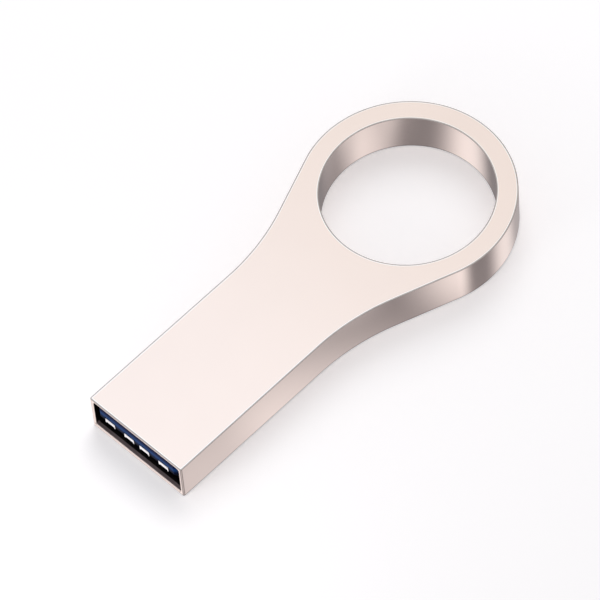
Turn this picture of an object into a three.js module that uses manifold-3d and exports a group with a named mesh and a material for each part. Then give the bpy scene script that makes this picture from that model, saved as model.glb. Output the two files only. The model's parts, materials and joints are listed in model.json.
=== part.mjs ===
// USB flash drive with a one-piece metal body: a flat USB-A plug stem that flares into a key ring.
// Millimetres. +Z is up through the thickness, the plug mouth faces -Y and the ring is at +Y.
// The origin is the centre of the body's bottom face box.
import * as THREE from 'three';
import { mergeVertices } from 'three/addons/utils/BufferGeometryUtils.js';
import Module from 'manifold-3d';

const wasm = await Module();
wasm.setup();

// ---- driving dimensions -------------------------------------------------------------------

const PLUG_WIDTH = 12.0;
const PLUG_HEIGHT = 4.5;
const RING_OUTER_RADIUS = 10.6;
const RING_HOLE_RADIUS = 8.5;
const MOUTH_TO_RING_CENTRE = 37.0;
const NECK_RADIUS = 24.0;
const NECK_ANGLE = THREE.MathUtils.degToRad(20.8);
const EDGE_CHAMFER = 0.12;

const WALL = 0.42;
const CAVITY_DEPTH = 26.8;
const FIT_GAP = 0.02;
const SIDE_GAP = 0.03;
const CUT_OVERRUN = 0.1;

const TONGUE_THICKNESS = 1.75;
const TONGUE_RECESS = 0.1;
const TONGUE_WIDTH = 10.4;
const TONGUE_LENGTH = 12.1;
const FLANGE_LENGTH = 2.6;
const NOSE_CORNER = 0.35;
const LEAD_IN = 0.2;

const LONG_CONTACT_PLACES = [-3.5, -1.0, 1.0, 3.5];
const LONG_CONTACT_WIDTH = 1.0;
const LONG_CONTACT_THICKNESS = 0.2;
const SPRING_PLACES = [-4, -2, 0, 2, 4];
const SPRING_WIDTH = 0.6;
const SPRING_THICKNESS = 0.15;
const SPRING_SLOT_WIDTH = 0.9;
const SPRING_SLOT_HEIGHT = 0.85;
const FLEX_LINE_DEPTH = 11.05;
const SOLDER_END_DEPTH = 14.1;

const BOARD_WIDTH = 10.0;
const BOARD_LENGTH = 13.8;
const BOARD_THICKNESS = 0.8;
const BOARD_BOTTOM = 1.85;
const BOARD_FRONT_DEPTH = 12.6;

const RING_SEGMENTS = 72;
const HOLE_SEGMENTS = 84;
const NECK_SEGMENTS = 8;

// ---- places worked out from them ----------------------------------------------------------

const TOTAL_LENGTH = MOUTH_TO_RING_CENTRE + RING_OUTER_RADIUS;
const MOUTH_Y = -TOTAL_LENGTH / 2;
const RING_Y = MOUTH_Y + MOUTH_TO_RING_CENTRE;
const STEM_HALF = PLUG_WIDTH / 2;
const CAVITY_HALF = STEM_HALF - WALL;
const CAVITY_FLOOR = WALL;
const CAVITY_CEILING = PLUG_HEIGHT - WALL;
const INSERT_HALF = CAVITY_HALF - SIDE_GAP;

const TONGUE_TOP = CAVITY_CEILING - FIT_GAP;
const TONGUE_BOTTOM = TONGUE_TOP - TONGUE_THICKNESS;
const TONGUE_BACK_DEPTH = TONGUE_RECESS + TONGUE_LENGTH;
const BOARD_TOP = BOARD_BOTTOM + BOARD_THICKNESS;
const BOARD_BACK_DEPTH = BOARD_FRONT_DEPTH + BOARD_LENGTH;

// A depth is measured from the plug mouth towards the ring.
function atDepth(depth) {
  return MOUTH_Y + depth;
}

// ---- materials ----------------------------------------------------------------------------

function material(color, roughness, metalness) {
  return new THREE.MeshStandardMaterial({ color, roughness, metalness });
}

const satinMetal = material(0xe4d8d2, 0.35, 1);
const bluePlastic = material(0x1f3f86, 0.45, 0);
const blackPlastic = material(0x1b1b1e, 0.5, 0);
const platedContact = material(0xd8d8de, 0.25, 1);
const goldContact = material(0xd9b35a, 0.3, 1);
const greenBoard = material(0x1d5a34, 0.5, 0);
const chipPlastic = material(0x232326, 0.6, 0);
const crystalCan = material(0xbfc0c4, 0.3, 1);
const tanCeramic = material(0xa98c66, 0.6, 0);
const blackCeramic = material(0x2b2b2b, 0.6, 0);

// ---- solids -------------------------------------------------------------------------------

function toSolid(geometry) {
  const bare = geometry.clone();
  bare.deleteAttribute('normal');
  bare.deleteAttribute('uv');
  const merged = mergeVertices(bare, 1e-4);
  const vertProperties = new Float32Array(merged.attributes.position.array);
  const triVerts = new Uint32Array(merged.index.array);
  return new wasm.Manifold(new wasm.Mesh({ numProp: 3, vertProperties, triVerts }));
}

function toGeometry(solid) {
  const mesh = solid.getMesh();
  const geometry = new THREE.BufferGeometry();
  geometry.setAttribute('position', new THREE.BufferAttribute(mesh.vertProperties, 3));
  geometry.setIndex(new THREE.BufferAttribute(mesh.triVerts, 1));
  geometry.computeVertexNormals();
  return geometry;
}

// A box from its two opposite corners.
function block(low, high) {
  const size = high.map((value, axis) => value - low[axis]);
  const geometry = new THREE.BoxGeometry(...size);
  geometry.translate(...low.map((value, axis) => value + size[axis] / 2));
  return geometry;
}

function solidBlock(low, high) {
  return toSolid(block(low, high));
}

function arcPoints(centreX, centreY, radius, from, to, segments) {
  const points = [];
  for (let step = 0; step <= segments; step += 1) {
    const angle = from + ((to - from) * step) / segments;
    points.push(new THREE.Vector2(centreX + radius * Math.cos(angle), centreY + radius * Math.sin(angle)));
  }
  return points;
}

// Extrudes an outline drawn in (depth, height) across the width, centred on x = 0.
function extrudeAcross(outline, width) {
  const points = outline.map(([depth, height]) => new THREE.Vector2(atDepth(depth), height));
  const geometry = new THREE.ExtrudeGeometry(new THREE.Shape(points), { depth: width, bevelEnabled: false });
  geometry.translate(0, 0, -width / 2);
  const turn = new THREE.Matrix4().makeBasis(
    new THREE.Vector3(0, 1, 0),
    new THREE.Vector3(0, 0, 1),
    new THREE.Vector3(1, 0, 0),
  );
  return geometry.applyMatrix4(turn);
}

// Extrudes an outline drawn in (x, height) from one depth to another.
function extrudeAlong(outline, frontDepth, backDepth) {
  const points = outline.map(([x, height]) => new THREE.Vector2(x, height));
  const length = backDepth - frontDepth;
  const geometry = new THREE.ExtrudeGeometry(new THREE.Shape(points), { depth: length, bevelEnabled: false });
  geometry.rotateX(Math.PI / 2);
  geometry.translate(0, atDepth(backDepth), 0);
  return geometry;
}

// The outline of a strip of sheet metal whose middle follows a path of (depth, height) points.
function stripOutline(path, thickness) {
  const vectors = path.map(([depth, height]) => new THREE.Vector2(depth, height));
  const directions = vectors.slice(1).map((point, index) => point.clone().sub(vectors[index]).normalize());
  const left = [];
  const right = [];
  vectors.forEach((point, index) => {
    const before = directions[Math.max(index - 1, 0)];
    const after = directions[Math.min(index, directions.length - 1)];
    const along = before.clone().add(after).normalize();
    const normal = new THREE.Vector2(-along.y, along.x);
    const reach = thickness / 2 / along.dot(after);
    left.push([point.x + normal.x * reach, point.y + normal.y * reach]);
    right.push([point.x - normal.x * reach, point.y - normal.y * reach]);
  });
  return [...right, ...left.reverse()];
}

function strip(path, thickness, width) {
  return extrudeAcross(stripOutline(path, thickness), width);
}

const drive = new THREE.Group();

function addPiece(name, geometry, look, x = 0, y = 0, z = 0) {
  const mesh = new THREE.Mesh(geometry, look);
  mesh.name = name;
  mesh.position.set(x, y, z);
  drive.add(mesh);
}

// ---- metal body ---------------------------------------------------------------------------

// Where the concave neck begins, so that its straight slope meets the ring tangentially.
function neckStart() {
  const cos = Math.cos(NECK_ANGLE);
  const sin = Math.sin(NECK_ANGLE);
  const slopeStartX = STEM_HALF + NECK_RADIUS * (1 - cos);
  const rise = (RING_OUTER_RADIUS - slopeStartX * cos) / sin;
  return RING_Y - rise - NECK_RADIUS * sin;
}

function bodyShape() {
  const startY = neckStart();
  const neckX = STEM_HALF + NECK_RADIUS;
  const rightNeck = arcPoints(neckX, startY, NECK_RADIUS, Math.PI, Math.PI - NECK_ANGLE, NECK_SEGMENTS);
  const ringEnd = Math.PI + NECK_ANGLE;
  const ring = arcPoints(0, RING_Y, RING_OUTER_RADIUS, -NECK_ANGLE, ringEnd, RING_SEGMENTS);
  const leftNeck = arcPoints(-neckX, startY, NECK_RADIUS, NECK_ANGLE, 0, NECK_SEGMENTS);
  const mouthRight = new THREE.Vector2(STEM_HALF, MOUTH_Y);
  const mouthLeft = new THREE.Vector2(-STEM_HALF, MOUTH_Y);
  const shape = new THREE.Shape([mouthRight, ...rightNeck, ...ring, ...leftNeck, mouthLeft]);
  const hole = arcPoints(0, RING_Y, RING_HOLE_RADIUS, 0, 2 * Math.PI, HOLE_SEGMENTS).slice(0, -1);
  shape.holes.push(new THREE.Path(hole));
  return shape;
}

function makeMetalBody() {
  const outer = new THREE.ExtrudeGeometry(bodyShape(), {
    depth: PLUG_HEIGHT - 2 * EDGE_CHAMFER,
    bevelThickness: EDGE_CHAMFER,
    bevelSize: EDGE_CHAMFER,
    bevelOffset: -EDGE_CHAMFER,
    bevelSegments: 1,
  });
  outer.translate(0, 0, EDGE_CHAMFER);
  const cavity = solidBlock(
    [-CAVITY_HALF, atDepth(-CUT_OVERRUN), CAVITY_FLOOR],
    [CAVITY_HALF, atDepth(CAVITY_DEPTH), CAVITY_CEILING],
  );
  addPiece('metal_body', toGeometry(toSolid(outer).subtract(cavity)), satinMetal);
}

// ---- long flat contacts (power and data, four) --------------------------------------------

const NOTCH_WIDTH = 1.36;
const NOTCH_DEPTH = 0.7;
const NOTCH_HEIGHT = 0.7;
const TIP_FRONT_DEPTH = 0.05;
const TIP_FACE_BOTTOM = TONGUE_BOTTOM + 0.16;
const TIP_TOP = TONGUE_BOTTOM + 0.6;
const TIP_LEG_WIDTH = 0.13;
const TIP_LEG_DEPTH = 0.3;
const BLADE_MIDDLE = TONGUE_BOTTOM + LONG_CONTACT_THICKNESS / 2;
const BLADE_END_DEPTH = 7.0;
const TIP_MIDDLE = TIP_TOP - LONG_CONTACT_THICKNESS / 2;
const TUNNEL_MIDDLE = TONGUE_BOTTOM + 1.3;
const LONG_TAIL_MIDDLE = BOARD_TOP + FIT_GAP + LONG_CONTACT_THICKNESS / 2;

// Raised tip, exposed blade under the tongue, buried run inside it, then the solder tail on the board.
const LONG_CONTACT_PATH = [
  [TIP_FRONT_DEPTH, TIP_MIDDLE],
  [TONGUE_RECESS + 0.3, TIP_MIDDLE],
  [TONGUE_RECESS + 0.8, BLADE_MIDDLE],
  [BLADE_END_DEPTH, BLADE_MIDDLE],
  [BLADE_END_DEPTH + 0.4, TUNNEL_MIDDLE],
  [12.45, TUNNEL_MIDDLE],
  [12.85, LONG_TAIL_MIDDLE],
  [SOLDER_END_DEPTH, LONG_TAIL_MIDDLE],
];

// The tip ends in an upright face between two short legs, one on each side of the strip.
function longContactSolid() {
  const half = LONG_CONTACT_WIDTH / 2;
  const outer = half + TIP_LEG_WIDTH;
  const front = atDepth(TIP_FRONT_DEPTH);
  const face = solidBlock(
    [-outer, front, TIP_FACE_BOTTOM],
    [outer, front + LONG_CONTACT_THICKNESS, TIP_TOP],
  );
  const legs = solidBlock([-outer, front, TONGUE_BOTTOM], [outer, front + TIP_LEG_DEPTH, TIP_TOP])
    .subtract(solidBlock([-half, front - 1, 0], [half, front + 1, PLUG_HEIGHT]));
  return toSolid(strip(LONG_CONTACT_PATH, LONG_CONTACT_THICKNESS, LONG_CONTACT_WIDTH)).add(face).add(legs);
}

function makeLongContacts() {
  const geometry = toGeometry(longContactSolid());
  LONG_CONTACT_PLACES.forEach((x, index) => {
    addPiece(`long_contact_${index + 1}`, geometry, platedContact, x);
  });
}

// ---- spring contacts (high speed, five) ---------------------------------------------------

const FLEX_HEIGHT = 2.15;
const FLEX_GAP = 0.03;
const TAIL_DROP_DEPTH = 12.37;
const SPRING_SLOT_FRONT_DEPTH = 7.6;
const SPRING_TAIL_MIDDLE = BOARD_BOTTOM - FIT_GAP - SPRING_THICKNESS / 2;

// From the flex line forward: a nearly level beam, the rounded point that touches, then the raised free end.
const SPRING_PATH = [
  [FLEX_LINE_DEPTH, FLEX_HEIGHT],
  [10.5, FLEX_HEIGHT + 0.05],
  [9.3, 2.03],
  [8.85, 1.98],
  [8.55, 1.99],
  [8.25, 2.12],
  [7.95, 2.45],
];

const SPRING_TAIL_PATH = [
  [SOLDER_END_DEPTH, SPRING_TAIL_MIDDLE],
  [TAIL_DROP_DEPTH, SPRING_TAIL_MIDDLE],
  [TAIL_DROP_DEPTH, FLEX_HEIGHT],
  [FLEX_LINE_DEPTH + FLEX_GAP, FLEX_HEIGHT],
];

function makeSpringContacts() {
  const spring = strip(SPRING_PATH, SPRING_THICKNESS, SPRING_WIDTH);
  const tail = strip(SPRING_TAIL_PATH, SPRING_THICKNESS, SPRING_WIDTH);
  SPRING_PLACES.forEach((x, index) => {
    addPiece(`contact_spring_${index + 1}`, spring, goldContact, x);
    addPiece(`contact_tail_${index + 1}`, tail, goldContact, x);
  });
}

// ---- tongue and contact block -------------------------------------------------------------

const SPRING_CLEARANCE = 0.3;

function tongueOutline() {
  const half = TONGUE_WIDTH / 2;
  const front = atDepth(TONGUE_RECESS);
  const back = atDepth(TONGUE_BACK_DEPTH);
  const flange = back - FLANGE_LENGTH;
  return [
    [half - NOSE_CORNER, front],
    [half, front + NOSE_CORNER],
    [half, flange],
    [INSERT_HALF, flange],
    [INSERT_HALF, back],
    [-INSERT_HALF, back],
    [-INSERT_HALF, flange],
    [-half, flange],
    [-half, front + NOSE_CORNER],
    [-(half - NOSE_CORNER), front],
  ].map(([x, y]) => new THREE.Vector2(x, y));
}

function makeTongue() {
  const plan = new THREE.ExtrudeGeometry(new THREE.Shape(tongueOutline()), {
    depth: TONGUE_THICKNESS,
    bevelEnabled: false,
  });
  plan.translate(0, 0, TONGUE_BOTTOM);
  let tongue = toSolid(plan);

  const below = TONGUE_BOTTOM - CUT_OVERRUN;
  const leadIn = extrudeAcross([
    [TONGUE_RECESS - CUT_OVERRUN, below],
    [TONGUE_RECESS + LEAD_IN + CUT_OVERRUN, below],
    [TONGUE_RECESS - CUT_OVERRUN, TONGUE_BOTTOM + LEAD_IN + CUT_OVERRUN],
  ], PLUG_WIDTH);
  tongue = tongue.subtract(toSolid(leadIn));

  const clearance = 2 * FIT_GAP;
  const groove = toSolid(strip(
    [...LONG_CONTACT_PATH.slice(1, 5), [TONGUE_BACK_DEPTH + 1, TUNNEL_MIDDLE]],
    LONG_CONTACT_THICKNESS + clearance,
    LONG_CONTACT_WIDTH + clearance,
  ));
  const notch = solidBlock(
    [-NOTCH_WIDTH / 2, atDepth(0), below],
    [NOTCH_WIDTH / 2, atDepth(TONGUE_RECESS + NOTCH_DEPTH), TONGUE_BOTTOM + NOTCH_HEIGHT],
  );
  const grooveHalf = (LONG_CONTACT_WIDTH + clearance) / 2;
  const openGroove = solidBlock(
    [-grooveHalf, atDepth(TONGUE_RECESS + NOTCH_DEPTH - CUT_OVERRUN), below],
    [grooveHalf, atDepth(BLADE_END_DEPTH + 0.05), BLADE_MIDDLE],
  );
  for (const x of LONG_CONTACT_PLACES) {
    for (const cut of [groove, notch, openGroove]) {
      tongue = tongue.subtract(cut.translate([x, 0, 0]));
    }
  }

  const springSlot = solidBlock(
    [-SPRING_SLOT_WIDTH / 2, atDepth(SPRING_SLOT_FRONT_DEPTH), below],
    [SPRING_SLOT_WIDTH / 2, atDepth(FLEX_LINE_DEPTH + FLEX_GAP), TONGUE_BOTTOM + SPRING_SLOT_HEIGHT],
  );
  for (const x of SPRING_PLACES) {
    tongue = tongue.subtract(springSlot.translate([x, 0, 0]));
  }
  addPiece('tongue', toGeometry(tongue), bluePlastic);
}

// The block under the back of the tongue closes the plug's gap and carries the spring contacts' tails.
function makeContactBlock() {
  const front = TONGUE_BACK_DEPTH - FLANGE_LENGTH;
  const step = FLEX_LINE_DEPTH + FLEX_GAP;
  const lowTop = FLEX_HEIGHT - SPRING_THICKNESS / 2 - SPRING_CLEARANCE;
  const highTop = TONGUE_BOTTOM - FIT_GAP;
  const profile = extrudeAcross([
    [front, CAVITY_FLOOR + FIT_GAP],
    [TONGUE_BACK_DEPTH, CAVITY_FLOOR + FIT_GAP],
    [TONGUE_BACK_DEPTH, highTop],
    [step, highTop],
    [step, lowTop],
    [front, lowTop],
  ], 2 * INSERT_HALF);
  let contactBlock = toSolid(profile);
  const grooveHalf = SPRING_WIDTH / 2 + SIDE_GAP;
  const grooveFloor = FLEX_HEIGHT - SPRING_THICKNESS / 2 - FIT_GAP;
  const tailGroove = solidBlock(
    [-grooveHalf, atDepth(step - CUT_OVERRUN), grooveFloor],
    [grooveHalf, atDepth(TONGUE_BACK_DEPTH + CUT_OVERRUN), highTop + CUT_OVERRUN],
  );
  for (const x of SPRING_PLACES) {
    contactBlock = contactBlock.subtract(tailGroove.translate([x, 0, 0]));
  }
  addPiece('contact_block', toGeometry(contactBlock), blackPlastic);
}

// ---- circuit board and its components -----------------------------------------------------

const SOLDER_GAP = 0.03;
const BACK_ROW_DEPTH = 23.2;

function makeBoard() {
  const half = BOARD_WIDTH / 2;
  const board = block(
    [-half, atDepth(BOARD_FRONT_DEPTH), BOARD_BOTTOM],
    [half, atDepth(BOARD_BACK_DEPTH), BOARD_TOP],
  );
  addPiece('circuit_board', board, greenBoard);
}

// A chip package: flat underneath, its top edges chamfered.
function chipGeometry(width, length, height, chamfer) {
  const half = width / 2;
  const shape = new THREE.Shape([
    new THREE.Vector2(-half, -length / 2),
    new THREE.Vector2(half, -length / 2),
    new THREE.Vector2(half, length / 2),
    new THREE.Vector2(-half, length / 2),
  ]);
  const geometry = new THREE.ExtrudeGeometry(shape, {
    depth: height - 2 * chamfer,
    bevelThickness: chamfer,
    bevelSize: chamfer,
    bevelOffset: -chamfer,
    bevelSegments: 1,
  });
  return geometry.translate(0, 0, chamfer);
}

// A ceramic chip component: a core with two slightly larger metal end caps, long side along Y.
function endCapGeometry(width, length, height) {
  const capLength = length * 0.22;
  const relief = 0.02;
  let part = solidBlock(
    [-width / 2 + relief, -length / 2 + relief, relief],
    [width / 2 - relief, length / 2 - relief, height - relief],
  );
  for (const y of [-length / 2, length / 2 - capLength]) {
    part = part.add(solidBlock([-width / 2, y, 0], [width / 2, y + capLength, height]));
  }
  return toGeometry(part);
}

function addOnTop(name, geometry, look, x, depth) {
  addPiece(name, geometry, look, x, atDepth(depth), BOARD_TOP + SOLDER_GAP);
}

function addUnderneath(name, geometry, look, x, depth) {
  const flipped = geometry.clone().rotateY(Math.PI);
  addPiece(name, flipped, look, x, atDepth(depth), BOARD_BOTTOM - SOLDER_GAP);
}

function makeComponents() {
  addOnTop('memory_chip', chipGeometry(9.0, 11.0, 1.0, 0.05), chipPlastic, 0, 20.4);
  addUnderneath('controller_chip', chipGeometry(6.0, 6.0, 0.8, 0.05), chipPlastic, -1.5, 18.9);
  addUnderneath('crystal', chipGeometry(2.0, 2.5, 0.6, 0.08), crystalCan, 3.4, 16.4);
  addUnderneath('voltage_regulator', chipGeometry(2.0, 2.0, 0.75, 0.05), chipPlastic, 3.3, 20.6);

  const smallCapacitor = endCapGeometry(0.5, 1.0, 0.5);
  const bulkCapacitor = endCapGeometry(0.8, 1.6, 0.8);
  const smallResistor = endCapGeometry(0.5, 1.0, 0.35);
  const capacitorPlaces = [
    [-3.0, 15.0],
    [-1.6, 15.0],
    [2.8, 18.5],
    [4.0, 18.5],
    [-0.6, BACK_ROW_DEPTH],
    [0.5, BACK_ROW_DEPTH],
    [1.6, BACK_ROW_DEPTH],
  ];
  capacitorPlaces.forEach(([x, depth], index) => {
    addUnderneath(`capacitor_${index + 1}`, smallCapacitor, tanCeramic, x, depth);
  });
  [-3.6, -2.2].forEach((x, index) => {
    addUnderneath(`bulk_capacitor_${index + 1}`, bulkCapacitor, tanCeramic, x, BACK_ROW_DEPTH);
  });
  [2.9, 4.0].forEach((x, index) => {
    addUnderneath(`resistor_${index + 1}`, smallResistor, blackCeramic, x, BACK_ROW_DEPTH);
  });
}

// ---- plastic carrier halves that wedge the board in the cavity ----------------------------

const RAIL_INNER = BOARD_WIDTH / 2 + 0.05;
const LEDGE_INNER = BOARD_WIDTH / 2 - 0.25;
const CARRIER_FRONT_DEPTH = 14.4;
const CARRIER_BACK_DEPTH = CAVITY_DEPTH - 0.05;
const CARRIER_PLATE = 0.3;
const SPLIT_HEIGHT = BOARD_BOTTOM + BOARD_THICKNESS / 2;

// A channel open towards the board: a plate, two rails beside the board and two ledges against its face.
function carrierOutline(plateFace, ledgeFace, railEnd) {
  const plateInner = plateFace + Math.sign(railEnd - plateFace) * CARRIER_PLATE;
  const rightHalf = [
    [INSERT_HALF, plateFace],
    [INSERT_HALF, railEnd],
    [RAIL_INNER, railEnd],
    [RAIL_INNER, ledgeFace],
    [LEDGE_INNER, ledgeFace],
    [LEDGE_INNER, plateInner],
  ];
  const leftHalf = rightHalf.map(([x, height]) => [-x, height]).reverse();
  return [...rightHalf, ...leftHalf];
}

function makeCarriers() {
  const upper = carrierOutline(CAVITY_CEILING - FIT_GAP, BOARD_TOP + FIT_GAP, SPLIT_HEIGHT + FIT_GAP);
  const lower = carrierOutline(CAVITY_FLOOR + FIT_GAP, BOARD_BOTTOM - FIT_GAP, SPLIT_HEIGHT - FIT_GAP);
  addPiece('carrier_upper', extrudeAlong(upper, CARRIER_FRONT_DEPTH, CARRIER_BACK_DEPTH), blackPlastic);
  addPiece('carrier_lower', extrudeAlong(lower, CARRIER_FRONT_DEPTH, CARRIER_BACK_DEPTH), blackPlastic);
}

makeMetalBody();
makeTongue();
makeContactBlock();
makeLongContacts();
makeSpringContacts();
makeBoard();
makeComponents();
makeCarriers();

export default drive;
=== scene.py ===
"""Looks for the USB flash drive: a satin metal body that is plug and key ring in one.

The frame gives every place: each visible piece is built here in fine mesh work on the CAD node it stands for.
Sizes in this file are millimetres until a mesh is written, which turns them into metres.
"""
import json
import math

import bmesh
import bpy
from mathutils import Matrix, Vector


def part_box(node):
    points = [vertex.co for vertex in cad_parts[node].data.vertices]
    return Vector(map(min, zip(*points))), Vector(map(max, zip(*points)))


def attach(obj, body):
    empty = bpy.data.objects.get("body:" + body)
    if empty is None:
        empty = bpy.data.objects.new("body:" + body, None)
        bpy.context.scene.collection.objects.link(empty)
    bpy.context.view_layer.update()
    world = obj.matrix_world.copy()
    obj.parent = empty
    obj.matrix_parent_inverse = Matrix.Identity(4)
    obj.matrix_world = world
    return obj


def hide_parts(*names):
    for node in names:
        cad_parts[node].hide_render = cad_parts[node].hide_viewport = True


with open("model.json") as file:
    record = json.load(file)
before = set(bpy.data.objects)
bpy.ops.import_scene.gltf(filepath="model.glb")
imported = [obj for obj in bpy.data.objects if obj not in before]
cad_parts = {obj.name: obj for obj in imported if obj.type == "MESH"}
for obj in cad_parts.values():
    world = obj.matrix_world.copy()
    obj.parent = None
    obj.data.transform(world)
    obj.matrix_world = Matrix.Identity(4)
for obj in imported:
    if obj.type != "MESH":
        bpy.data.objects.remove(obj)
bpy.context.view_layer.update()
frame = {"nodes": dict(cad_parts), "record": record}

MM = 0.001


BODIES = frame["record"]["behaviour"]["bodies"]
SLOTS = {part["node"]: part["material_slot"] for part in frame["record"]["subparts"]}
BODY_OF = {node: body for body, nodes in BODIES.items() for node in nodes}


def node_box(node):
    """A node's lowest and highest corner in millimetres."""
    low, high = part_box(node)
    return Vector(low) / MM, Vector(high) / MM


# ---- driving sizes, from the frame and the standard plug ----------------------------------

BODY_LOW, BODY_HIGH = node_box("metal_body")
TONGUE_LOW, TONGUE_HIGH = node_box("tongue")

PLUG_HALF = 6.0
THICKNESS = BODY_HIGH.z
MOUTH_Y = BODY_LOW.y
RING_RADIUS = BODY_HIGH.x
RING_Y = BODY_HIGH.y - RING_RADIUS
HOLE_RADIUS = 8.5
NECK_RADIUS = 24.0
NECK_ANGLE = math.radians(20.8)
WALL = 0.42
CAVITY_DEPTH = 26.8
CAVITY_HALF = PLUG_HALF - WALL

# Every outer edge: a border on the flat face, painted lighter as a highlight, then a line that falls away and
# then a small round, both painted dark as a shade line.
BORDER_WIDTH = 0.20
SHADE_WIDTH = 0.12
SHADE_FALL = 0.018
SHADE_ON_WALL = 0.14
EDGE_ROUND = 0.05
EDGE_STEPS = 4
CORNER_ROUND = 0.21
CAVITY_CORNER = 0.22
UPPER_LIP_THINNING = 0.5
# The mouth's edge from the front face inwards: how far out from the cavity, how deep, and its normal's turn.
MOUTH_PROFILE = [
    (0.18, 0.0, 0),
    (0.16, 0.003, 14),
    (0.13, 0.014, 22),
    (0.03, 0.055, 22),
    (0.008, 0.066, 50),
    (0, 0.085, 90),
]
# How far into the cavity the painted light on the floor reaches.
LIT_FLOOR_DEPTH = 0.46

# ---- camera -------------------------------------------------------------------------------

CAMERA_AZIMUTH = math.radians(48.41)
CAMERA_ELEVATION = math.radians(55.98)
CAMERA_ROLL = math.radians(-5.46)
CAMERA_DISTANCE = 528.5
CAMERA_LENS = 334.6
CAMERA_AIM = Vector((-0.10, -1.68, THICKNESS / 2))


def make_camera():
    """The camera looks at a point just in front of the neck, rolled a little."""
    cos_across, sin_across = math.cos(CAMERA_AZIMUTH), math.sin(CAMERA_AZIMUTH)
    cos_up, sin_up = math.cos(CAMERA_ELEVATION), math.sin(CAMERA_ELEVATION)
    back = Vector((sin_across * cos_up, -cos_across * cos_up, sin_up))
    level_right = Vector((cos_across, sin_across, 0))
    level_up = back.cross(level_right)
    right = level_right * math.cos(CAMERA_ROLL) + level_up * math.sin(CAMERA_ROLL)
    up = back.cross(right)
    data = bpy.data.cameras.new("camera")
    data.lens = CAMERA_LENS
    data.clip_start = 0.01
    data.clip_end = 10
    camera = bpy.data.objects.new("camera", data)
    camera.matrix_world = Matrix((right, up, back)).transposed().to_4x4()
    camera.location = (CAMERA_AIM + back * CAMERA_DISTANCE) * MM
    bpy.context.collection.objects.link(camera)
    bpy.context.scene.camera = camera


make_camera()

# ---- material helpers ---------------------------------------------------------------------

RANGE_SOCKETS = ("From Min", "From Max", "To Min", "To Max")


class Surface:
    """A Principled material with short calls for the procedural nodes that these surfaces share."""

    def __init__(self, name, **sockets):
        self.material = bpy.data.materials.new(name)
        self.material.use_nodes = True
        self.tree = self.material.node_tree
        self.shader = self.tree.nodes["Principled BSDF"]
        for socket, value in sockets.items():
            self.shader.inputs[socket.replace("_", " ")].default_value = value

    def add(self, kind, **settings):
        node = self.tree.nodes.new(kind)
        for name, value in settings.items():
            setattr(node, name, value)
        return node

    def link(self, output, target):
        self.tree.links.new(output, target)

    def place(self, scale=(1, 1, 1)):
        """Object coordinates in millimetres, stretched by scale."""
        coordinates = self.add("ShaderNodeTexCoord")
        mapping = self.add("ShaderNodeMapping")
        mapping.inputs["Scale"].default_value = [1000 * s for s in scale]
        self.link(coordinates.outputs["Object"], mapping.inputs["Vector"])
        return mapping.outputs["Vector"]

    def noise(self, scale, detail=3.0, rough=0.5, stretch=(1, 1, 1)):
        noise = self.add("ShaderNodeTexNoise")
        noise.inputs["Scale"].default_value = scale
        noise.inputs["Detail"].default_value = detail
        noise.inputs["Roughness"].default_value = rough
        self.link(self.place(stretch), noise.inputs["Vector"])
        return noise.outputs["Fac"]

    def ramp(self, value, low, high, start=0.3, end=0.7):
        """Spreads a 0 to 1 value between two numbers or two colours."""
        ramp = self.add("ShaderNodeMapRange" if isinstance(low, (int, float)) else "ShaderNodeMix")
        if ramp.bl_idname == "ShaderNodeMapRange":
            for name, number in zip(RANGE_SOCKETS, (start, end, low, high)):
                ramp.inputs[name].default_value = number
            self.link(value, ramp.inputs["Value"])
            return ramp.outputs["Result"]
        ramp.data_type = "RGBA"
        spread = self.ramp(value, 0.0, 1.0, start, end)
        self.link(spread, ramp.inputs["Factor"])
        ramp.inputs[6].default_value = (*low, 1)
        ramp.inputs[7].default_value = (*high, 1)
        return ramp.outputs[2]

    def colour(self, value, low, high, start=0.3, end=0.7):
        self.link(self.ramp(value, low, high, start, end), self.shader.inputs["Base Color"])

    def roughness(self, value, low, high, start=0.3, end=0.7):
        self.link(self.ramp(value, low, high, start, end), self.shader.inputs["Roughness"])

    def bump(self, height, distance_mm, strength=1.0):
        bump = self.add("ShaderNodeBump")
        bump.inputs["Distance"].default_value = distance_mm * MM
        bump.inputs["Strength"].default_value = strength
        self.link(height, bump.inputs["Height"])
        self.link(bump.outputs["Normal"], self.shader.inputs["Normal"])


def satin_nickel():
    """Pearl-nickel plated zinc: warm and even, with a very fine satin grain."""
    surface = Surface("satin_nickel", Metallic=1.0)
    grain = surface.noise(30.0, detail=4.0, rough=0.65)
    cloud = surface.noise(0.12, detail=2.0)
    surface.colour(cloud, (0.925, 0.81, 0.755), (0.94, 0.825, 0.768))
    surface.roughness(grain, 0.15, 0.18)
    surface.bump(grain, 0.0006, 0.3)
    return surface.material


def edge_metal(name, low, high, rough_low, rough_high):
    """The satin metal along an edge, painted lighter as a highlight or darker as a shade line, and a little
    uneven.
    """
    surface = Surface(name, Metallic=1.0)
    unevenness = surface.noise(0.8, detail=4.0, rough=0.6)
    surface.colour(unevenness, low, high)
    surface.roughness(unevenness, rough_low, rough_high)
    surface.bump(unevenness, 0.001, 0.2)
    return surface.material


# Painted highlight: lighter than the satin metal, along the border of each flat face.
def highlight_border():
    return edge_metal("highlight_border", (0.975, 0.945, 0.92), (1.0, 0.98, 0.965), 0.10, 0.15)


# Painted shade: a dark line down each edge's fall and round, and at the bottom a little way onto the wall.
def shade_line():
    return edge_metal("shade_line", (0.40, 0.365, 0.35), (0.48, 0.44, 0.42), 0.16, 0.24)


def mouth_floor_painted_light():
    """The first half millimetre of the cavity floor, painted lighter than the cavity behind as the light that
    falls in through the mouth.
    """
    surface = Surface("mouth_floor_painted_light", Metallic=0.6)
    streaks = surface.noise(6.0, detail=4.0, stretch=(0.4, 3, 1))
    surface.colour(streaks, (0.20, 0.155, 0.16), (0.30, 0.24, 0.245))
    surface.roughness(streaks, 0.42, 0.55)
    surface.bump(streaks, 0.004, 0.4)
    return surface.material


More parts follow.
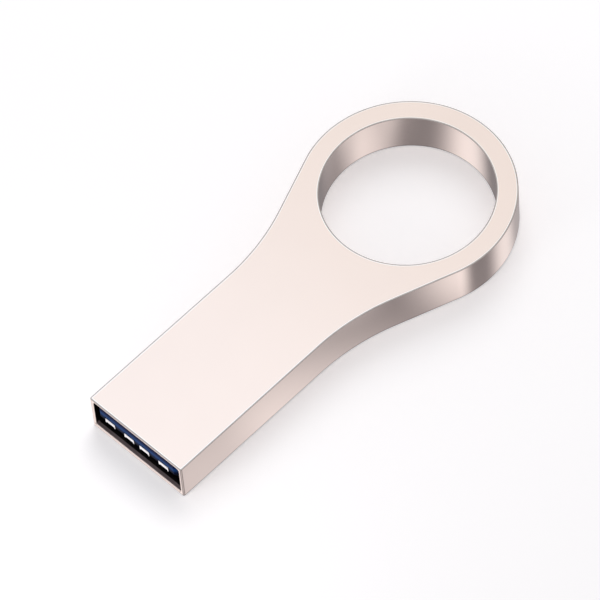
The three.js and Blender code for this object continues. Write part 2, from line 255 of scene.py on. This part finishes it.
def cavity_painted_shade():
    """The unpolished inside of the casting, rougher than the outside and painted near black as the shade deep
    in the cavity.
    """
    surface = Surface("cavity_painted_shade", Metallic=1.0)
    grain = surface.noise(9.0, detail=5.0, rough=0.6)
    surface.colour(grain, (0.018, 0.015, 0.015), (0.045, 0.037, 0.036))
    surface.roughness(grain, 0.34, 0.5)
    surface.bump(grain, 0.006, 0.5)
    return surface.material


# Heights up the tongue, from 0 at its underside to 1 at its top, and the colour there: its own blue at both
# ends, and painted shade between, near black along the lower front edge and dark navy under the shell's lip,
# with a lighter painted band across the middle.
BLUE_AND_PAINTED_SHADE_TONES = [
    (0.0, (0.008, 0.036, 0.13)),
    (0.05, (0.001, 0.002, 0.007)),
    (0.28, (0.002, 0.006, 0.03)),
    (0.55, (0.012, 0.052, 0.175)),
    (0.74, (0.002, 0.009, 0.055)),
    (0.97, (0.001, 0.004, 0.025)),
    (1.0, (0.008, 0.036, 0.13)),
]


def blue_insulator():
    """Glass-filled blue thermoplastic with a faint mould grain; its front is banded by height with painted
    shade and a lighter painted band.
    """
    surface = Surface("blue_insulator", IOR=1.5)
    surface.shader.inputs["Specular IOR Level"].default_value = 0.01
    grain = surface.noise(14.0, detail=4.0, rough=0.6)
    upward = surface.add("ShaderNodeSeparateXYZ")
    surface.link(surface.place(), upward.inputs["Vector"])
    # The colour by height is painted shade, with a lighter painted band, over the tongue's blue.
    tones = surface.add("ShaderNodeValToRGB")
    tones.color_ramp.elements.remove(tones.color_ramp.elements[0])
    tones.color_ramp.elements[0].position = 1.0
    for number, (share, tone) in enumerate(BLUE_AND_PAINTED_SHADE_TONES):
        stop = tones.color_ramp.elements[0] if number == 0 else tones.color_ramp.elements.new(share)
        stop.position = share
        stop.color = (*tone, 1)
    height = surface.ramp(upward.outputs["Z"], 0.0, 1.0, TONGUE_LOW.z, TONGUE_HIGH.z)
    surface.link(height, tones.inputs["Fac"])
    surface.link(tones.outputs["Color"], surface.shader.inputs["Base Color"])
    surface.roughness(grain, 0.24, 0.36)
    surface.bump(grain, 0.004, 0.4)
    return surface.material


def black_insulator():
    surface = Surface("black_insulator", IOR=1.5)
    grain = surface.noise(10.0, detail=4.0, rough=0.6)
    surface.colour(grain, (0.012, 0.012, 0.013), (0.024, 0.024, 0.026))
    surface.roughness(grain, 0.38, 0.55)
    surface.bump(grain, 0.006, 0.4)
    return surface.material


def plated_metal(name, low, high, rough_low, rough_high):
    """Stamped and plated contact metal: rolling lines along the strip, under a bright plating."""
    surface = Surface(name, Metallic=1.0)
    lines = surface.noise(9.0, detail=3.0, stretch=(6, 0.4, 2))
    surface.colour(lines, low, high)
    surface.roughness(lines, rough_low, rough_high)
    surface.bump(lines, 0.002, 0.4)
    return surface.material


def plated_contact():
    return plated_metal("plated_contact", (0.93, 0.94, 0.96), (0.98, 0.98, 1.0), 0.12, 0.22)


def gold_contact():
    return plated_metal("gold_contact", (0.86, 0.60, 0.24), (0.96, 0.72, 0.34), 0.14, 0.26)


def circuit_board():
    """Green solder mask over copper, which shows as slightly lighter routed tracks."""
    surface = Surface("circuit_board", IOR=1.5, Coat_Weight=0.4, Coat_Roughness=0.15)
    tracks = surface.add("ShaderNodeTexBrick")
    tracks.inputs["Scale"].default_value = 1.0
    tracks.inputs["Mortar Size"].default_value = 0.045
    tracks.inputs["Brick Width"].default_value = 1.9
    tracks.inputs["Row Height"].default_value = 0.42
    surface.link(surface.place(), tracks.inputs["Vector"])
    weave = surface.noise(3.0, detail=2.0)
    surface.colour(tracks.outputs["Fac"], (0.006, 0.055, 0.022), (0.016, 0.115, 0.045), 0.0, 1.0)
    surface.roughness(weave, 0.3, 0.42)
    surface.bump(tracks.outputs["Fac"], 0.02, 0.5)
    return surface.material


def chip_package():
    """Black moulding compound, matt and finely speckled."""
    surface = Surface("chip_package", IOR=1.5)
    speckle = surface.noise(16.0, detail=5.0, rough=0.7)
    surface.colour(speckle, (0.014, 0.014, 0.016), (0.042, 0.042, 0.046))
    surface.roughness(speckle, 0.5, 0.68)
    surface.bump(speckle, 0.008, 0.4)
    return surface.material


def crystal_can():
    surface = Surface("crystal_can", Metallic=1.0)
    brushed = surface.noise(8.0, detail=3.0, stretch=(5, 0.5, 1))
    surface.colour(brushed, (0.6, 0.6, 0.61), (0.74, 0.74, 0.75))
    surface.roughness(brushed, 0.22, 0.34)
    surface.bump(brushed, 0.003, 0.4)
    return surface.material


def ceramic(name, low, high):
    """The sintered body of a chip component, between its tinned end caps."""
    surface = Surface(name, IOR=1.5)
    grain = surface.noise(12.0, detail=4.0)
    surface.colour(grain, low, high)
    surface.roughness(grain, 0.45, 0.6)
    surface.bump(grain, 0.005, 0.4)
    return surface.material


def tan_ceramic():
    return ceramic("tan_ceramic", (0.36, 0.24, 0.13), (0.47, 0.33, 0.19))


def black_ceramic():
    return ceramic("black_ceramic", (0.02, 0.02, 0.022), (0.05, 0.05, 0.052))


def solder_tin():
    surface = Surface("solder_tin", Metallic=1.0)
    grain = surface.noise(7.0, detail=4.0)
    surface.colour(grain, (0.66, 0.67, 0.69), (0.8, 0.81, 0.83))
    surface.roughness(grain, 0.28, 0.42)
    surface.bump(grain, 0.006, 0.4)
    return surface.material


MATERIALS = {
    "satin_nickel": satin_nickel(),
    "highlight_border": highlight_border(),
    "shade_line": shade_line(),
    "cavity_painted_shade": cavity_painted_shade(),
    "mouth_floor_painted_light": mouth_floor_painted_light(),
    "blue_insulator": blue_insulator(),
    "black_insulator": black_insulator(),
    "plated_contact": plated_contact(),
    "gold_contact": gold_contact(),
    "circuit_board": circuit_board(),
    "chip_package": chip_package(),
    "crystal_can": crystal_can(),
    "tan_ceramic": tan_ceramic(),
    "black_ceramic": black_ceramic(),
    "solder_tin": solder_tin(),
}

# ---- metal body ---------------------------------------------------------------------------


CORNER_STEPS = 6
NECK_STEPS = 28
RING_STEPS = 180
HOLE_STEPS = 200


def arc(centre_x, centre_y, radius, start, end, steps, inward=False):
    """Outline points on an arc with their outward normals; inward is for a concave arc."""
    side = -1 if inward else 1
    points = []
    for step in range(steps + 1):
        angle = start + (end - start) * step / steps
        cos, sin = math.cos(angle), math.sin(angle)
        points.append((centre_x + radius * cos, centre_y + radius * sin, side * cos, side * sin))
    return points


def neck_start():
    """Where the concave neck begins, so that its straight slope meets the ring tangentially."""
    cos, sin = math.cos(NECK_ANGLE), math.sin(NECK_ANGLE)
    slope_x = PLUG_HALF + NECK_RADIUS * (1 - cos)
    return RING_Y - (RING_RADIUS - slope_x * cos) / sin - NECK_RADIUS * sin


def body_outline():
    """The outline seen from above, anticlockwise, as (x, y, normal x, normal y)."""
    half_turn, quarter = math.pi, math.pi / 2
    corner_x, corner_y = PLUG_HALF - CORNER_ROUND, MOUTH_Y + CORNER_ROUND
    neck_x, neck_y = PLUG_HALF + NECK_RADIUS, neck_start()
    outline = [(-corner_x, MOUTH_Y, 0, -1)]
    outline += arc(corner_x, corner_y, CORNER_ROUND, -quarter, 0, CORNER_STEPS)
    outline += arc(neck_x, neck_y, NECK_RADIUS, half_turn, half_turn - NECK_ANGLE, NECK_STEPS, inward=True)
    outline += arc(0, RING_Y, RING_RADIUS, -NECK_ANGLE, half_turn + NECK_ANGLE, RING_STEPS)
    outline += arc(-neck_x, neck_y, NECK_RADIUS, NECK_ANGLE, 0, NECK_STEPS, inward=True)
    outline += arc(-corner_x, corner_y, CORNER_ROUND, half_turn, 3 * quarter, CORNER_STEPS)[:-1]
    return outline


def edge_profile():
    """Rows from the bottom face round the wall to the top: inset, height, normal across and normal up."""
    slope = math.atan2(SHADE_FALL, SHADE_WIDTH)
    round_start = EDGE_ROUND * (1 - math.sin(slope))
    centre = (SHADE_WIDTH - round_start) * math.tan(slope) + EDGE_ROUND * math.cos(slope)
    rows = [(BORDER_WIDTH, 0, 0, -1), (SHADE_WIDTH, 0, 0, -1)]
    for step in range(EDGE_STEPS + 1):
        angle = slope + (math.pi / 2 - slope) * step / EDGE_STEPS
        cos, sin = math.cos(angle), math.sin(angle)
        rows.append((EDGE_ROUND * (1 - sin), centre - EDGE_ROUND * cos, sin, -cos))
    mirrored = [(inset, THICKNESS - height, across, -up) for inset, height, across, up in reversed(rows)]
    return rows + [(0, SHADE_ON_WALL, 1, 0)] + mirrored


BODY_LOOKS = ["satin_nickel", "highlight_border", "shade_line", "cavity_painted_shade", "mouth_floor_painted_light"]
SATIN, HIGHLIGHT, SHADE, CAVITY_SHADE, LIT_FLOOR = range(len(BODY_LOOKS))
BANDS = 2 * (EDGE_STEPS + 3)
WALL_BAND = EDGE_STEPS + 3


def edge_look(band):
    # The border bands take the painted highlight, the wall the plain satin, the rest the painted shade line.
    if band in (0, BANDS - 1):
        return HIGHLIGHT
    return SATIN if band == WALL_BAND else SHADE


class Shell:
    """Collects vertices in millimetres with their normals, and faces by vertex number and material."""

    def __init__(self):
        self.points = []
        self.normals = []
        self.faces = []
        self.looks = []

    def row(self, points, normals):
        first = len(self.points)
        self.points += points
        self.normals += normals
        return list(range(first, len(self.points)))

    def face(self, corners, look=0):
        self.faces.append(corners)
        self.looks.append(look)

    def band(self, low, high, look=0, skip=()):
        """Quads between two closed rows of the same length."""
        count = len(low)
        for here in range(count):
            if here not in skip:
                there = (here + 1) % count
                self.face([low[here], low[there], high[there], high[here]], look)

    def plate(self, outer, inner, look=0):
        """Flat triangles between an outer closed row and a hole in it."""
        work = bmesh.new()
        made = {number: work.verts.new(self.points[number]) for number in [*outer, *inner]}
        numbers = {vertex: number for number, vertex in made.items()}
        edges = []
        for loop in (outer, inner):
            for here, there in zip(loop, loop[1:] + loop[:1]):
                edges.append(work.edges.new((made[here], made[there])))
        bmesh.ops.triangle_fill(work, edges=edges, use_beauty=True)
        for face in work.faces:
            self.face([numbers[vertex] for vertex in face.verts], look)
        work.free()

    def piece(self, name, looks):
        """Writes the mesh, faces turned outward and shaded with the rows' own normals."""
        mesh = bpy.data.meshes.new(name)
        mesh.from_pydata([Vector(point) * MM for point in self.points], [], self.faces)
        mesh.polygons.foreach_set("material_index", self.looks)
        work = bmesh.new()
        work.from_mesh(mesh)
        bmesh.ops.recalc_face_normals(work, faces=work.faces)
        work.to_mesh(mesh)
        work.free()
        mesh.polygons.foreach_set("use_smooth", [True] * len(mesh.polygons))
        mesh.normals_split_custom_set_from_vertices(self.normals)
        for look in looks:
            mesh.materials.append(MATERIALS[look])
        piece = bpy.data.objects.new(name, mesh)
        bpy.context.collection.objects.link(piece)
        return piece


def mouth_loop(grow, depth, turn):
    """A rounded rectangle round the plug's mouth; turn takes its normals from facing out to facing in."""
    half_x = CAVITY_HALF - CAVITY_CORNER
    half_z = THICKNESS / 2 - WALL - CAVITY_CORNER
    radius = CAVITY_CORNER + grow
    points, normals = [], []
    for corner, (side_x, side_z) in enumerate(((1, 1), (-1, 1), (-1, -1), (1, -1))):
        for step in range(CORNER_STEPS + 1):
            angle = math.pi / 2 * (corner + step / CORNER_STEPS)
            cos, sin = math.cos(angle), math.sin(angle)
            x = side_x * half_x + radius * cos
            z = THICKNESS / 2 + side_z * half_z + radius * sin
            if side_z > 0:
                z += grow * UPPER_LIP_THINNING
            points.append((x, MOUTH_Y + depth, z))
            normals.append((-cos * math.sin(turn), -math.cos(turn), -sin * math.sin(turn)))
    return points, normals


def make_metal_body():
    shell = Shell()
    outline = body_outline()
    rows = []
    for inset, height, across, up in edge_profile():
        points = [(x - nx * inset, y - ny * inset, height) for x, y, nx, ny in outline]
        normals = [(nx * across, ny * across, up) for x, y, nx, ny in outline]
        rows.append(shell.row(points, normals))
    for number, (low, high) in enumerate(zip(rows, rows[1:])):
        shell.band(low, high, look=edge_look(number), skip=(0,) if number == WALL_BAND else ())

    hole_rows = []
    circle = arc(0, RING_Y, HOLE_RADIUS, 0, 2 * math.pi, HOLE_STEPS)[:-1]
    for inset, height, across, up in edge_profile():
        points = [(x + nx * inset, y + ny * inset, height) for x, y, nx, ny in circle]
        normals = [(-nx * across, -ny * across, up) for x, y, nx, ny in circle]
        hole_rows.append(shell.row(points, normals))
    for number, (low, high) in enumerate(zip(hole_rows, hole_rows[1:])):
        shell.band(low, high, look=edge_look(number))
    shell.plate(rows[0], hole_rows[0])
    shell.plate(rows[-1], hole_rows[-1])

    mouth_rows = []
    for grow, depth, turn in MOUTH_PROFILE:
        mouth_rows.append(shell.row(*mouth_loop(grow, depth, math.radians(turn))))
    low, high = rows[WALL_BAND], rows[WALL_BAND + 1]
    front = [low[0], low[1], high[1], high[0]]
    shell.plate(front, mouth_rows[0])
    for low, high in zip(mouth_rows, mouth_rows[1:]):
        shell.band(low, high)
    # The floor's first part takes the painted light, and the rest of the cavity the painted near-black shade.
    lit_floor_end = shell.row(*mouth_loop(0, LIT_FLOOR_DEPTH, math.pi / 2))
    cavity_end = shell.row(*mouth_loop(0, CAVITY_DEPTH, math.pi / 2))
    count = len(lit_floor_end)
    heights = [shell.points[number][2] for number in lit_floor_end]
    next_heights = heights[1:] + heights[:1]
    floor_sides = [side for side in range(count) if max(heights[side], next_heights[side]) < 2 * WALL]
    shell.band(mouth_rows[-1], lit_floor_end, look=CAVITY_SHADE, skip=floor_sides)
    shell.band(mouth_rows[-1], lit_floor_end, look=LIT_FLOOR, skip=set(range(count)) - set(floor_sides))
    shell.band(lit_floor_end, cavity_end, look=CAVITY_SHADE)
    shell.face(cavity_end, look=CAVITY_SHADE)

    body = shell.piece("one_piece_body", BODY_LOOKS)
    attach(body, BODY_OF["metal_body"])
    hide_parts("metal_body")


# ---- pieces refined from their CAD nodes --------------------------------------------------

END_CAP_SHARE = 0.2
SHARP_EDGE = math.radians(25)
ROUNDING = 0.025
ROUNDINGS = {
    "tongue": 0.05,
    "contact_block": 0.05,
    "circuit_board": 0.03,
    "carrier_upper": 0.05,
    "carrier_lower": 0.05,
}
CERAMICS = ("tan_ceramic", "black_ceramic")


def cap_ends(work):
    """Gives a chip component's two ends the second material, over a fifth of its length each."""
    places = [vert.co for vert in work.verts]
    low, high = (Vector(pick(column) for column in zip(*places)) for pick in (min, max))
    along = 0 if high.x - low.x > high.y - low.y else 1
    reach = END_CAP_SHARE * (high[along] - low[along])
    direction = Vector([float(axis == along) for axis in range(3)])
    for edge in (low[along] + reach, high[along] - reach):
        bmesh.ops.bisect_plane(work, geom=[*work.verts, *work.edges, *work.faces], dist=1e-4,
                               plane_co=direction * edge, plane_no=direction)
    for face in work.faces:
        place = face.calc_center_median()[along]
        face.material_index = int(not low[along] + reach < place < high[along] - reach)


def put_in_order(mesh):
    """Sorts a mesh's points and faces by place, because a cut leaves them in a different order each run."""
    ranks = sorted(range(len(mesh.vertices)), key=lambda number: tuple(mesh.vertices[number].co))
    new_number = {old: new for new, old in enumerate(ranks)}
    faces = []
    for face in mesh.polygons:
        corners = [new_number[corner] for corner in face.vertices]
        first = corners.index(min(corners))
        faces.append((corners[first:] + corners[:first], face.material_index))
    faces.sort()
    points = [mesh.vertices[old].co.copy() for old in ranks]
    mesh.clear_geometry()
    mesh.from_pydata(points, [], [corners for corners, look in faces])
    mesh.polygons.foreach_set("material_index", [look for corners, look in faces])


def refined(node, rounding):
    """A copy of a CAD node with its edges really rounded, which stands for the node."""
    mesh = frame["nodes"][node].data.copy()
    mesh.materials.clear()
    work = bmesh.new()
    work.from_mesh(mesh)
    bmesh.ops.scale(work, vec=(1 / MM,) * 3, verts=work.verts)
    bmesh.ops.remove_doubles(work, verts=work.verts, dist=0.0005)
    bmesh.ops.dissolve_limit(work, angle_limit=math.radians(0.5), verts=work.verts, edges=work.edges)
    shared = [edge for edge in work.edges if len(edge.link_faces) == 2]
    sharp = [edge for edge in shared if edge.calc_face_angle() > SHARP_EDGE]
    bmesh.ops.bevel(work, geom=sharp, offset=rounding, segments=2, profile=0.5,
                    affect="EDGES", clamp_overlap=True)
    bmesh.ops.recalc_face_normals(work, faces=work.faces)
    slot = SLOTS[node]
    mesh.materials.append(MATERIALS[slot])
    if slot in CERAMICS:
        cap_ends(work)
        mesh.materials.append(MATERIALS["solder_tin"])
    bmesh.ops.scale(work, vec=(MM,) * 3, verts=work.verts)
    work.to_mesh(mesh)
    work.free()
    if slot in CERAMICS:
        put_in_order(mesh)
    mesh.polygons.foreach_set("use_smooth", [True] * len(mesh.polygons))
    piece = bpy.data.objects.new(f"{node}_fine", mesh)
    bpy.context.collection.objects.link(piece)
    weighted = piece.modifiers.new("even_shading", "WEIGHTED_NORMAL")
    weighted.keep_sharp = True
    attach(piece, BODY_OF[node])
    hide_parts(node)


def make_inner_pieces():
    for node in frame["nodes"]:
        if node != "metal_body":
            refined(node, ROUNDINGS.get(node, ROUNDING))


make_metal_body()
make_inner_pieces()

# ---- studio -------------------------------------------------------------------------------

FLOOR_SIZE = 4000.0
FLOOR_DROP = 0.01
FLOOR_COLOUR = (0.94, 0.925, 0.94, 1)
FLOOR_GLOW = 0.22
CARD_HEIGHT = -30.0
CARD_NEAR = 0.25
CARD_FAR = 0.46
CARD_NEAR_END, CARD_FAR_START = 48.0, 75.0
# Soft lights on the card under the floor: x, y and radius in millimetres, and strength. Each is named after
# what mirrors it towards the camera, or after its side of the drive.
CARD_LIGHTS = {
    "plug_side_front": (20, -9, 16, 0.50),
    "plug_side_back": (20, 3, 11, 0.62),
    "neck_end": (34, 12, 10, 0.90),
    "ring_side": (18, 37, 16, 0.70),
    "ring_back": (0, 44, 22, 0.22),
    "hole_left": (15, 17, 16, 0.60),
    "hole_left_back": (12, 26, 13, 0.25),
    "hole_right": (-16, 5, 21, 0.77),
    "mouth_rim": (-16, -38, 32, 0.85),
    "mouth_corner": (22, -38, 15, 0.40),
    "far_front": (-38, -100, 50, 0.50),
    "far_left": (-120, 25, 75, 0.35),
    "far_right": (115, 70, 70, 0.35),
    "farther_front": (30, -150, 80, 0.30),
    "far_back": (-40, 140, 70, 0.35),
}
SOFTBOX_PLACE = (-40.0, 36.0, 80.0)
SOFTBOX_SIZE = 140.0
SOFTBOX_MOUTH_END, SOFTBOX_RING_END = 1.04, 0.93
SKY_GLOSS = 1.08
HORIZON_GLOSS = 0.16
SKY_START, SKY_END = 0.02, 0.22
CARD_DIM_TINT, CARD_BRIGHT_TINT = (1.0, 0.94, 0.98), (1.0, 0.95, 0.95)
SOFTBOX_MOUTH_TINT, SOFTBOX_RING_TINT = (1.0, 1.025, 1.065), (1.0, 0.98, 0.965)
ROOM_LIGHT = 0.60
KEY_PLACE = (-120.0, 160.0, 230.0)
KEY_SIZE = 230.0
KEY_POWER = 0.28
FILL_PLACE = (-2.0, -62.0, 28.0)
FILL_SIZE = 24.0
FILL_POWER = 0.006


def square(name, size, place):
    """A flat square for the studio, which isn't part of the object."""
    half = size / 2 * MM
    mesh = bpy.data.meshes.new(name)
    corners = [(-half, -half, 0), (half, -half, 0), (half, half, 0), (-half, half, 0)]
    mesh.from_pydata(corners, [], [(0, 1, 2, 3)])
    sheet = bpy.data.objects.new(name, mesh)
    sheet.location = Vector(place) * MM
    bpy.context.collection.objects.link(sheet)
    return sheet


def make_floor():
    floor = square("floor", FLOOR_SIZE, (0, 0, -FLOOR_DROP))
    surface = Surface("floor_white", Roughness=0.9)
    surface.shader.inputs["Specular IOR Level"].default_value = 0.0
    surface.shader.inputs["Base Color"].default_value = FLOOR_COLOUR
    surface.shader.inputs["Emission Color"].default_value = FLOOR_COLOUR
    surface.shader.inputs["Emission Strength"].default_value = FLOOR_GLOW
    floor.data.materials.append(surface.material)
    floor.visible_glossy = False


def reflector(name, size, place, tint, level):
    """A glowing sheet that only the object's gloss sees; tint and level give its colour and strength."""
    sheet = square(name, size, place)
    surface = Surface(name)
    glow = surface.add("ShaderNodeEmission")
    where = surface.place()
    surface.link(level(surface, where), glow.inputs["Strength"])
    surface.link(tint(surface, where), glow.inputs["Color"])
    surface.link(glow.outputs["Emission"], surface.tree.nodes["Material Output"].inputs["Surface"])
    sheet.data.materials.append(surface.material)
    for ray in ("camera", "diffuse", "transmission", "volume_scatter", "shadow"):
        setattr(sheet, f"visible_{ray}", False)


def spread(surface, value, start, end, low, high):
    """A smooth change from low to high while the value goes from start to end."""
    fade = surface.add("ShaderNodeMapRange", interpolation_type="SMOOTHERSTEP")
    for name, number in zip(RANGE_SOCKETS, (start, end, low, high)):
        fade.inputs[name].default_value = number
    surface.link(value, fade.inputs["Value"])
    return fade.outputs["Result"]


def distance_from(surface, where, x, y):
    distance = surface.add("ShaderNodeVectorMath", operation="DISTANCE")
    distance.inputs[1].default_value = (x, y, 0)
    surface.link(where, distance.inputs[0])
    return distance.outputs["Value"]


def card_level(surface, where):
    """Dim near the object, with the soft lights on top, which give the side walls their bands."""
    from_middle = distance_from(surface, where, 0, 0)
    total = spread(surface, from_middle, CARD_NEAR_END, CARD_FAR_START, CARD_NEAR, CARD_FAR)
    for x, y, radius, strength in CARD_LIGHTS.values():
        patch = spread(surface, distance_from(surface, where, x, y), 0, radius, strength, 0)
        added = surface.add("ShaderNodeMath", operation="ADD")
        surface.link(total, added.inputs[0])
        surface.link(patch, added.inputs[1])
        total = added.outputs["Value"]
    return total


def along_drive(surface, where):
    """From 0 over the plug's mouth to 1 over the ring."""
    along = surface.add("ShaderNodeSeparateXYZ")
    surface.link(where, along.inputs["Vector"])
    return spread(surface, along.outputs["Y"], -30, 30, 0, 1)


def softbox_level(surface, where):
    return surface.ramp(along_drive(surface, where), SOFTBOX_MOUTH_END, SOFTBOX_RING_END, 0, 1)


def softbox_tint(surface, where):
    return surface.ramp(along_drive(surface, where), SOFTBOX_MOUTH_TINT, SOFTBOX_RING_TINT, 0, 1)


def card_tint(surface, where):
    """A touch more purple where the card is dim."""
    return surface.ramp(card_level(surface, where), CARD_DIM_TINT, CARD_BRIGHT_TINT, 0.1, 0.9)


def make_world():
    """White light for the floor and the colours; for the gloss, a bright sky over a dim horizon."""
    world = bpy.data.worlds.new("white_tent")
    bpy.context.scene.world = world
    world.use_nodes = True
    tree = world.node_tree
    background = tree.nodes["Background"]
    direction = tree.nodes.new("ShaderNodeTexCoord")
    up = tree.nodes.new("ShaderNodeSeparateXYZ")
    tree.links.new(direction.outputs["Generated"], up.inputs["Vector"])
    sky = tree.nodes.new("ShaderNodeMapRange")
    sky.interpolation_type = "SMOOTHSTEP"
    for name, number in zip(RANGE_SOCKETS, (SKY_START, SKY_END, HORIZON_GLOSS, SKY_GLOSS)):
        sky.inputs[name].default_value = number
    tree.links.new(up.outputs["Z"], sky.inputs["Value"])
    rays = tree.nodes.new("ShaderNodeLightPath")
    chosen = tree.nodes.new("ShaderNodeMix")
    tree.links.new(rays.outputs["Is Glossy Ray"], chosen.inputs["Factor"])
    chosen.inputs["A"].default_value = ROOM_LIGHT
    tree.links.new(sky.outputs["Result"], chosen.inputs["B"])
    tree.links.new(chosen.outputs["Result"], background.inputs["Strength"])
    background.inputs["Color"].default_value = (1.0, 1.0, 1.0, 1)


def lamp(name, place, aim, size, power):
    """A soft round lamp that the gloss doesn't see."""
    data = bpy.data.lights.new(name, "AREA")
    data.shape = "DISK"
    data.size = size * MM
    data.energy = power
    made = bpy.data.objects.new(name, data)
    made.location = Vector(place) * MM
    made.rotation_euler = (Vector(place) - Vector(aim)).to_track_quat("Z", "Y").to_euler()
    made.visible_glossy = False
    bpy.context.collection.objects.link(made)


make_floor()
reflector("light_card", FLOOR_SIZE, (0, 0, CARD_HEIGHT), card_tint, card_level)
reflector("softbox", SOFTBOX_SIZE, SOFTBOX_PLACE, softbox_tint, softbox_level)
make_world()
lamp("key", KEY_PLACE, (0, 0, 0), KEY_SIZE, KEY_POWER)
lamp("mouth_fill", FILL_PLACE, (0, MOUTH_Y, 0), FILL_SIZE, FILL_POWER)
bpy.context.scene.view_settings.view_transform = "Standard"
